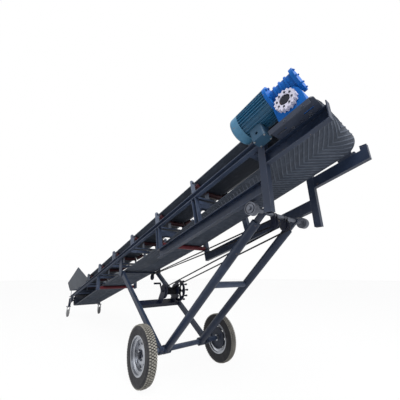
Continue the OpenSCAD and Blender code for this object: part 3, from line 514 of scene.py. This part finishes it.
def ribTree():
    tree = NodeTree("beltRibs", {
        "Path": "NodeSocketObject", "Belt": "NodeSocketObject", "Rib": "NodeSocketObject",
        "Pitch": "NodeSocketFloat", "Count": "NodeSocketInt", "Lift": "NodeSocketFloat",
        "Ray Length": "NodeSocketFloat", "Material": "NodeSocketMaterial"})
    add = tree.add
    spacing = add("ShaderNodeCombineXYZ", inputs={0: tree.given("Pitch")})
    line = add("GeometryNodeMeshLine", {"mode": "OFFSET"}, {"Count": tree.given("Count"), "Offset": spacing})
    rib = add("GeometryNodeObjectInfo", inputs={0: tree.given("Rib")}, output="Geometry")
    rows = add("GeometryNodeInstanceOnPoints", inputs={"Points": line, "Instance": rib})
    rows = add("GeometryNodeRealizeInstances", inputs={0: rows})
    split = add("ShaderNodeSeparateXYZ", inputs={0: add("GeometryNodeInputPosition")}).node.outputs
    path = add("GeometryNodeObjectInfo", inputs={0: tree.given("Path")}, output="Geometry")
    length = add("GeometryNodeCurveLength", inputs={0: path})
    run = add("ShaderNodeMath", {"operation": "FLOORED_MODULO"}, {0: split["X"], 1: length})
    sample = add("GeometryNodeSampleCurve", {"mode": "LENGTH"}, {"Curves": path, "Length": run}).node.outputs
    outward = add("ShaderNodeVectorMath", {"operation": "CROSS_PRODUCT"},
                  {0: sample["Tangent"], 1: acrossDir})
    side = add("ShaderNodeCombineXYZ", inputs={1: split["Y"]})
    base = add("ShaderNodeVectorMath", {"operation": "ADD"}, {0: sample["Position"], 1: side})
    lifted = add("ShaderNodeVectorMath", {"operation": "SCALE"}, {0: outward, "Scale": tree.given("Lift")})
    start = add("ShaderNodeVectorMath", {"operation": "ADD"}, {0: base, 1: lifted})
    inward = add("ShaderNodeVectorMath", {"operation": "SCALE"}, {0: outward, "Scale": -1.0})
    belt = add("GeometryNodeObjectInfo", inputs={0: tree.given("Belt")}, output="Geometry")
    hit = add("GeometryNodeRaycast", inputs={"Target Geometry": belt, "Source Position": start,
                                             "Ray Direction": inward, "Ray Length": tree.given("Ray Length")},
              output="Hit Position")
    landed = add("GeometryNodeSwitch", {"input_type": "VECTOR"},
                 {0: hit.node.outputs["Is Hit"], 1: base, 2: hit})
    raised = add("ShaderNodeVectorMath", {"operation": "SCALE"}, {0: outward, "Scale": split["Z"]})
    final = add("ShaderNodeVectorMath", {"operation": "ADD"}, {0: landed, 1: raised})
    tree.close(add("GeometryNodeSetPosition", inputs={0: rows, "Position": final}))
    return tree


loop = loopOfBelt()
loopLength = sum((a - b).length for a, b in zip(loop, loop[1:] + loop[:1]))
loopCurve = bpy.data.curves.new("beltLoop", "CURVE")
loopCurve.dimensions = "3D"
spline = loopCurve.splines.new("POLY")
spline.points.add(len(loop) - 1)
spline.use_cyclic_u = True
for point, at in zip(spline.points, loop):
    point.co = (*at, 1)
pathObject, ribObject = newObject("beltLoop", loopCurve), newObject("ribShape", ribMesh())
ribCount = round(loopLength / ribs["pitch"])
ribRow = ribTree().grow("beltRibs", bpy.data.meshes.new("ribSeed"), {
    "Path": pathObject, "Belt": nodes["belt"], "Rib": ribObject, "Pitch": loopLength / ribCount,
    "Count": ribCount, "Lift": ribs["lift"], "Ray Length": ribs["rayLength"], "Material": ribTop})
for helper in (pathObject, ribObject):
    bpy.data.objects.remove(helper)
settle(ribRow, "frame")
print("belt ribs:", ribCount, "chevrons,", len(ribRow.data.polygons), "faces")

# bolts: hexagon heads on washers, set on points that carry an axis and a size
# lengths are in half widths of the head
bolt = {"headHeight": 1.2, "headUp": 0.75, "washerRadius": 1.45, "washerHeight": 0.4, "washerSides": 14}


def boltTree():
    tree = NodeTree("bolts", {"Sides": "NodeSocketInt", "Material": "NodeSocketMaterial"})
    add = tree.add
    head = add("GeometryNodeMeshCylinder", inputs={
        "Vertices": tree.given("Sides"), "Radius": 1.0, "Depth": bolt["headHeight"]})
    head = add("GeometryNodeTransform", inputs={0: head, "Translation": (0, 0, bolt["headUp"])})
    washer = add("GeometryNodeMeshCylinder", inputs={
        "Vertices": bolt["washerSides"], "Radius": bolt["washerRadius"], "Depth": bolt["washerHeight"]})
    whole = tree.group.nodes.new("GeometryNodeJoinGeometry")
    for part in (head, washer):
        tree.group.links.new(part, whole.inputs[0])
    axis = add("GeometryNodeInputNamedAttribute", {"data_type": "FLOAT_VECTOR"}, {"Name": "axis"})
    size = add("GeometryNodeInputNamedAttribute", {"data_type": "FLOAT"}, {"Name": "size"})
    turn = add("FunctionNodeAlignRotationToVector", {"axis": "Z"}, {"Vector": axis})
    tree.close(add("GeometryNodeInstanceOnPoints", inputs={
        "Points": tree.given("Geometry"), "Instance": whole.outputs[0], "Rotation": turn, "Scale": size}))
    return tree


bolts = boltTree()


def boltSet(name, body, slot, axis, size, places, sides=6):  # axis and size: one for all heads, or a list
    axes, sizes = (one if isinstance(one, list) else [one] * len(places) for one in (axis, size))
    seed = bpy.data.meshes.new(name + "Points")
    seed.from_pydata([tuple(at) for at in places], [], [])
    for label, kind in (("axis", "FLOAT_VECTOR"), ("size", "FLOAT")):
        seed.attributes.new(label, kind, "POINT")
    for k in range(len(places)):
        seed.attributes["axis"].data[k].vector = Vector(axes[k]).normalized()
        seed.attributes["size"].data[k].value = sizes[k]
    settle(bolts.grow(name, seed, {"Sides": sides, "Material": finishes[slot]}), body)


# rods: round bars along lines of points


def rodTree():
    tree = NodeTree("rods", {"Radius": "NodeSocketFloat", "Sides": "NodeSocketInt",
                             "Material": "NodeSocketMaterial"})
    ring = tree.add("GeometryNodeCurvePrimitiveCircle", inputs={
        "Resolution": tree.given("Sides"), "Radius": tree.given("Radius")})
    line = tree.add("GeometryNodeMeshToCurve", inputs={0: tree.given("Geometry")})
    tree.close(tree.add("GeometryNodeCurveToMesh", inputs={
        "Curve": line, "Profile Curve": ring, "Fill Caps": True}))
    return tree


rods = rodTree()


def rodSet(name, paths, radius, finish, sides=10):
    seed = bpy.data.meshes.new(name + "Lines")
    points, edges = [], []
    for path in paths:
        edges += [(len(points) + k, len(points) + k + 1) for k in range(len(path) - 1)]
        points += [tuple(at) for at in path]
    seed.from_pydata(points, edges, [])
    return rods.grow(name, seed, {"Radius": radius, "Sides": sides, "Material": finish})


# road wheels: a ribbed carcass, rows of tread blocks, wheel nuts, a cap at the hub, and a dark drum behind
# the rim that stands in for the shade seen through its holes (painted shade)
tyre = {"half": [(0.1795, 0.0440), (0.184, 0.0452), (0.190, 0.0456), (0.193, 0.0466), (0.204, 0.0482),
                 (0.221, 0.0488), (0.236, 0.0482), (0.238, 0.0492), (0.242, 0.0490), (0.244, 0.0474),
                 (0.256, 0.0450), (0.2640, 0.0420), (0.2690, 0.0356), (0.2715, 0.0240)], "steps": 96,
        "around": 66, "outer": {"at": 0.0315, "radius": 0.2665, "block": (0.017, 0.0162, 0.0172)},
        "inner": {"at": 0.0105, "radius": 0.2730, "block": (0.014, 0.0158, 0.0172)}}
# the drum profile makes a dark drum behind the rim's disc: painted shade, so the rim's holes show dark
hub = {"face": 0.006, "nutRing": 0.044, "nut": 0.0085, "nuts": 6, "capSteps": 32, "shadeDrumSteps": 64,
       "cap": [(0, 0.031), (0.016, 0.030), (0.026, 0.025), (0.031, 0.0062), (0.027, 0.0062), (0.023, 0.022),
               (0.014, 0.0265), (0, 0.0275)],
       "drum": [(0.036, -0.0150), (0.122, -0.0150), (0.126, -0.0190), (0.126, -0.0395), (0.119, -0.0395),
                (0.119, -0.0230), (0.036, -0.0230)]}


def treadTree():
    tree = NodeTree("tread", {"Count": "NodeSocketInt", "Radius": "NodeSocketFloat",
                              "Block": "NodeSocketVector", "Material": "NodeSocketMaterial"})
    add = tree.add
    block = add("GeometryNodeMeshCube", inputs={"Size": tree.given("Block")})
    ring = add("GeometryNodeMeshCircle", inputs={
        "Vertices": tree.given("Count"), "Radius": tree.given("Radius")})
    outward = add("GeometryNodeInputPosition")
    turn = add("FunctionNodeAlignRotationToVector", {"axis": "X"}, {"Vector": outward})
    tree.close(add("GeometryNodeInstanceOnPoints", inputs={
        "Points": ring, "Instance": block, "Rotation": turn}))
    return tree


tread = treadTree()


def buildTread(name, centre):  # four rows, every second one turned by half a block
    halfStep = math.pi / tyre["around"]
    upright = Matrix.Rotation(math.pi / 2, 4, "X")
    mesh = bmesh.new()
    for k, (kind, side) in enumerate((("outer", -1), ("inner", -1), ("inner", 1), ("outer", 1))):
        row = tyre[kind]
        ring = tread.grow("treadRow", bpy.data.meshes.new("treadSeed"), {
            "Count": tyre["around"], "Radius": row["radius"], "Block": row["block"], "Material": treadDust})
        seat = Matrix.Translation(centre + acrossDir * side * row["at"])
        ring.data.transform(seat @ upright @ Matrix.Rotation(halfStep * (k % 2), 4, "Z"))
        mesh.from_mesh(ring.data)
        bpy.data.objects.remove(ring)
    made = bpy.data.meshes.new(name)
    bmesh.ops.recalc_face_normals(mesh, faces=mesh.faces)
    mesh.to_mesh(made)
    mesh.free()
    return painted(newObject(name, made), treadDust)


for label, side in (("Near", -1), ("Far", 1)):
    body = "road_wheel_" + label.lower()
    centre = jointAt(body + "_spin")
    shell = lathe("tyre" + label, mirrored(tyre["half"]), centre, side, tyre["steps"])
    settle(painted(shell, finishes["tyre_rubber"]), body, True, ("tyre_" + label.lower(),))
    settle(buildTread("tread" + label, centre), body)
    outside = acrossDir * side
    boltSet("wheelNuts" + label, body, "bearing_iron", outside, hub["nut"],
            [centre + outside * hub["face"] + onCircle(hub["nutRing"], a) for a in evenAngles(hub["nuts"])])
    # a dark drum inside the rim, painted shade behind the rim's holes
    drum = lathe("hubDrum" + label, hub["drum"], centre, side, hub["shadeDrumSteps"])
    settle(painted(drum, finishes["bearing_iron"]), body)
    cap = lathe("hubCap" + label, hub["cap"], centre, side, hub["capSteps"])
    settle(painted(cap, shaftBlack), body, True)
print("tyres, wheel nuts, hub drums and hub caps done")

# caster wheels: a hub, a dished web and a rounded tread, and nuts outside the fork
casterWheel = {"half": [(0, 0.0315), (0.010, 0.0315), (0.010, 0.0245), (0.022, 0.0235), (0.024, 0.0220),
                        (0.024, 0.0130), (0.028, 0.0110), (0.058, 0.0110), (0.062, 0.0130), (0.064, 0.0200),
                        (0.068, 0.0218), (0.072, 0.0225), (0.082, 0.0205), (0.0870, 0.0165), (0.0893, 0.0100),
                        (0.0900, 0.0040)], "steps": 64, "cheek": 0.0315, "nut": 0.011}
outwards = [acrossDir * side for side in both]
for label in ("Near", "Far"):
    body = "caster_wheel_" + label.lower()
    centre = jointAt(body + "_spin")
    wheel = lathe("casterWheel" + label, mirrored(casterWheel["half"]), centre, 1, casterWheel["steps"])
    settle(painted(wheel, finishes["caster_tread"]), body, False, (body,))
    boltSet("casterNuts" + label, "caster_" + label.lower(), "caster_zinc", outwards, casterWheel["nut"],
            [centre + side * casterWheel["cheek"] for side in outwards])
print("caster wheels done")

# luffing ropes: from the winch round the two blocks on the roller bar, and on to the sheaves at the pivot
rope = {"radius": 0.008, "sides": 8, "sheave": 0.043, "spool": 0.035, "spoolEnds": (0.026, 0.195),
        "beamShare": 0.48, "winchRise": 0.19, "blockDrop": 0.075, "leaves": (0.034, 0.187),
        "blocks": (-0.1, 0.06), "pivotY": (0.219, 0.237), "lineSteps": 24, "turnSteps": 14, "spoolSteps": 20}
legLine = legPivot * inMiddle - axle
legSquare = Vector((legLine.z, 0, -legLine.x)).normalized()
winchAt = axle + legLine * rope["beamShare"] + legSquare * rope["winchRise"]
blockDrop = Vector((0, 0, rope["blockDrop"]))
blockAt = rollerAxis - blockDrop
sheaveAt = legPivot * inMiddle - blockDrop


def tangent(first, firstRadius, firstSide, second, secondRadius, secondSide):  # side 1 is above, -1 below
    along = second - first
    reach = along.length
    along = along / reach
    above = Vector((-along.z, 0, along.x))
    lean = (firstSide * firstRadius - secondSide * secondRadius) / reach
    square = above * math.sqrt(1 - lean * lean) + along * lean
    return first + square * firstSide * firstRadius, second + square * secondSide * secondRadius


def ropeRod(name, path):
    return rodSet(name, [path], rope["radius"], ropeSteel, rope["sides"])


def ropeLine(name, start, startY, end, endY):  # a straight rope between the two leg sets, baked in place and tied to neither
    a, b = start + acrossDir * startY, end + acrossDir * endY
    piece = ropeRod(name, [a.lerp(b, k / rope["lineSteps"]) for k in range(rope["lineSteps"] + 1)])
    tuple(a)
    tuple(b)
    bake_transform(piece)


def ropeTurn(name, body, middle, y, start, end):  # the part of a turn that lies on a sheave
    first, last = start - middle, end - middle
    startAngle = math.atan2(first.z, first.x)
    sweep = (math.atan2(last.z, last.x) - startAngle) % (2 * math.pi)
    path = [middle + acrossDir * y + onCircle(rope["sheave"], startAngle + sweep * k / rope["turnSteps"])
            for k in range(rope["turnSteps"] + 1)]
    settle(ropeRod(name, path), body, True)


def laidTurns():  # the rope as it lies on the spool, turn beside turn
    low, high = rope["spoolEnds"]
    steps = round((high - low) / (2 * rope["radius"])) * rope["spoolSteps"]
    return [winchAt + onCircle(rope["spool"] + rope["radius"], 2 * math.pi * k / rope["spoolSteps"])
            + acrossDir * (low + (high - low) * k / steps) for k in range(steps + 1)]


laidRadius = rope["spool"] + 2 * rope["radius"]
lowStart, lowEnd = tangent(winchAt, laidRadius, 1, blockAt, rope["sheave"], -1)
topStart, topEnd = tangent(sheaveAt, rope["sheave"], 1, blockAt, rope["sheave"], 1)
anchor = 2 * sheaveAt - topStart  # each rope goes half a turn round its sheave and ends below it
for label, leave, blockY, pivotY in zip(("Near", "Far"), rope["leaves"], rope["blocks"], rope["pivotY"]):
    ropeLine("ropeWinch" + label, lowStart, leave, lowEnd, blockY)
    ropeLine("ropePivot" + label, topStart, pivotY, topEnd, blockY)
    ropeTurn("ropeTurn" + label, "head_leg_set", blockAt, blockY, lowEnd, topEnd)
    ropeTurn("ropeEnd" + label, "tail_leg_set", sheaveAt, pivotY, topStart, anchor)
settle(ropeRod("ropeOnSpool", laidTurns()), "tail_leg_set", True)
print("ropes done")

# idler fastenings: bolts through each crossbar's ends, and the wing rollers' spindles with their bolts
idler = {"first": 0.130, "pitch": 0.859, "count": 8,
         "barBolt": {"along": 0.018, "y": 0.375, "v": 0.476, "size": 0.009},
         "spindleBolt": {"along": 0.0042, "y": 0.312, "v": 0.672, "size": 0.010},
         "spindle": {"low": (0.262, 0.648), "high": (0.3125, 0.6772), "radius": 0.009}}
stations = [idler["first"] - idler["pitch"] * k for k in range(idler["count"])]
fixings = [(s, side) for s in stations for side in both]
bar, pin, spindle = idler["barBolt"], idler["spindleBolt"], idler["spindle"]
boltSet("barBolts", "frame", "bearing_iron", beltNormal, bar["size"],
        [place(s + end * bar["along"], side * bar["y"], bar["v"]) for s, side in fixings for end in both])
boltSet("spindleBolts", "frame", "bearing_iron", beltDir, pin["size"],
        [place(s + pin["along"], side * pin["y"], pin["v"]) for s, side in fixings])
lines = [[place(s, side * y, v) for y, v in (spindle["low"], spindle["high"])] for s, side in fixings]
spindles = rodSet("wingSpindles", lines, spindle["radius"], finishes["bearing_iron"])
settle(spindles, "frame", True)

# head bearings and drive plate: foot bolts, a row of nuts under the plate, and bolts through its lip
footBolt = {"s": 0.6, "along": 0.062, "y": 0.385, "v": 0.326, "size": 0.009}
plateNut = {"s": (0.535, 0.600, 0.665), "y": -0.430, "v": 0.306, "size": 0.008}
lipBolt = {"s": (0.540, 0.665), "y": -0.555, "v": 0.291, "size": 0.007}
boltSet("footBolts", "frame", "bearing_iron", beltNormal, footBolt["size"],
        [place(footBolt["s"] + end * footBolt["along"], side * footBolt["y"], footBolt["v"])
         for side in both for end in both])
boltSet("plateNuts", "frame", "bearing_iron", -beltNormal, plateNut["size"],
        [place(s, plateNut["y"], plateNut["v"]) for s in plateNut["s"]])
boltSet("lipBolts", "frame", "bearing_iron", -acrossDir, lipBolt["size"],
        [place(s, lipBolt["y"], lipBolt["v"]) for s in lipBolt["s"]])

# drive: rings of bolts on the gearbox, the output shaft's cap, the fan grille and the box's lid screws
drive = {"y": -0.470, "v": 0.583, "bolts": 8,
         "inputRing": {"s": 0.522, "radius": 0.112, "size": 0.008},
         "endRing": {"s": 0.722, "radius": 0.080, "size": 0.006},
         "outputRing": {"y": -0.5683, "radius": 0.053, "size": 0.0055},
         "capFloor": -0.550, "capSteps": 40,
         "cap": [(0, 0.0152), (0.0275, 0.0152), (0.030, 0.0125), (0.0375, 0.0115), (0.0375, 0.0005),
                 (0, 0.0005)]}
grille = {"rings": (0.030, 0.052, 0.074, 0.096), "bars": 8, "radius": 0.0022, "sides": 6, "proud": 0.001,
          "steps": 48}
lidScrew = {"s": (0.270, 0.362), "y": (-0.511, -0.429), "v": 0.355, "size": 0.005, "sides": 8}
ringAngles = evenAngles(drive["bolts"], math.pi / drive["bolts"])


def onMotor(s, radius, angle):  # a point round the motor's axis
    return place(s, drive["y"] + radius * math.cos(angle), drive["v"] + radius * math.sin(angle))


def onShaft(y, radius=0, angle=0):  # a point round the output shaft, which lies in line with the head drum
    return place(drumPlace["s"] + radius * math.cos(angle), y, drumPlace["v"] + radius * math.sin(angle))


motorBolts = [(ring, a) for ring in (drive["inputRing"], drive["endRing"]) for a in ringAngles]
boltSet("inputBolts", "frame", "gear_paint", beltDir, [ring["size"] for ring, a in motorBolts],
        [onMotor(ring["s"], ring["radius"], a) for ring, a in motorBolts])
ring = drive["outputRing"]
boltSet("outputBolts", "frame", "bearing_iron", -acrossDir, ring["size"],
        [onShaft(ring["y"], ring["radius"], a) for a in ringAngles])
cap = lathe("shaftCap", drive["cap"], onShaft(drive["capFloor"]), -1, drive["capSteps"])
settle(painted(cap, shaftBlack), "frame")
coverEnd = min((v.co - drumAxis).dot(beltDir) for v in nodes["fan_cover"].data.vertices)
coverEnd = coverEnd - grille["proud"] + drumPlace["s"]
wholeTurn = evenAngles(grille["steps"]) + [2 * math.pi]
wires = [[onMotor(coverEnd, r, a) for a in wholeTurn] for r in grille["rings"]]
wires += [[onMotor(coverEnd, r, a) for r in (grille["rings"][0], grille["rings"][-1])]
          for a in evenAngles(grille["bars"])]
grilleRods = rodSet("coverGrille", wires, grille["radius"], finishes["bearing_iron"], grille["sides"])
settle(grilleRods, "frame", True)
boltSet("lidScrews", "frame", "caster_zinc", -beltNormal, lidScrew["size"],
        [place(s, y, lidScrew["v"]) for s in lidScrew["s"] for y in lidScrew["y"]], lidScrew["sides"])

# legs: nuts on the pivot brackets and at the ends of the roller bar
bracketNut = {"s": -2.822, "along": 0.036, "y": 0.369, "v": (0.414, 0.438), "size": 0.009}
barNut = {"y": 0.415, "size": 0.015}
spots = [(side, bracketNut["s"] + end * bracketNut["along"], v)
         for side in both for end in both for v in bracketNut["v"]]
boltSet("bracketNuts", "frame", "frame_paint", [acrossDir * side for side, s, v in spots], bracketNut["size"],
        [place(s, side * bracketNut["y"], v) for side, s, v in spots])
boltSet("barNuts", "head_leg_set", "bare_steel", outwards, barNut["size"],
        [rollerAxis + side * barNut["y"] for side in outwards])

# hopper: a bead along the upper edge of its walls
hopperEdge = {"tail": (-6.557, 0.837), "head": (-5.300, 0.930), "toe": (-4.800, 0.505),
              "lowY": 0.356, "lowV": 0.505, "lean": math.radians(20), "wall": 0.006, "bead": 0.008}


def hopperRim(side, corner):  # a point on the middle of the hopper wall's edge
    s, v = hopperEdge[corner]
    y = hopperEdge["lowY"] + (v - hopperEdge["lowV"]) * math.tan(hopperEdge["lean"])
    return place(s, side * (y + hopperEdge["wall"] / 2 / math.cos(hopperEdge["lean"])), v)


rim = [hopperRim(-1, c) for c in ("toe", "head", "tail")] + [hopperRim(1, c) for c in ("tail", "head", "toe")]
bead = rodSet("hopperEdge", [rim], hopperEdge["bead"], finishes["hopper_paint"])
settle(bead, "frame", True)

# casters: bolts at the corners of their top plates
padBolt = {"out": 0.041, "z": 0.248, "size": 0.008}
swivels = [jointAt("caster_near_swivel"), jointAt("caster_far_swivel")]
boltSet("padBolts", "frame", "caster_zinc", (0, 0, 1), padBolt["size"],
        [Vector((at.x + dx * padBolt["out"], at.y + dy * padBolt["out"], padBolt["z"]))
         for at in swivels for dx in both for dy in both])
print("fasteners and small fittings done")
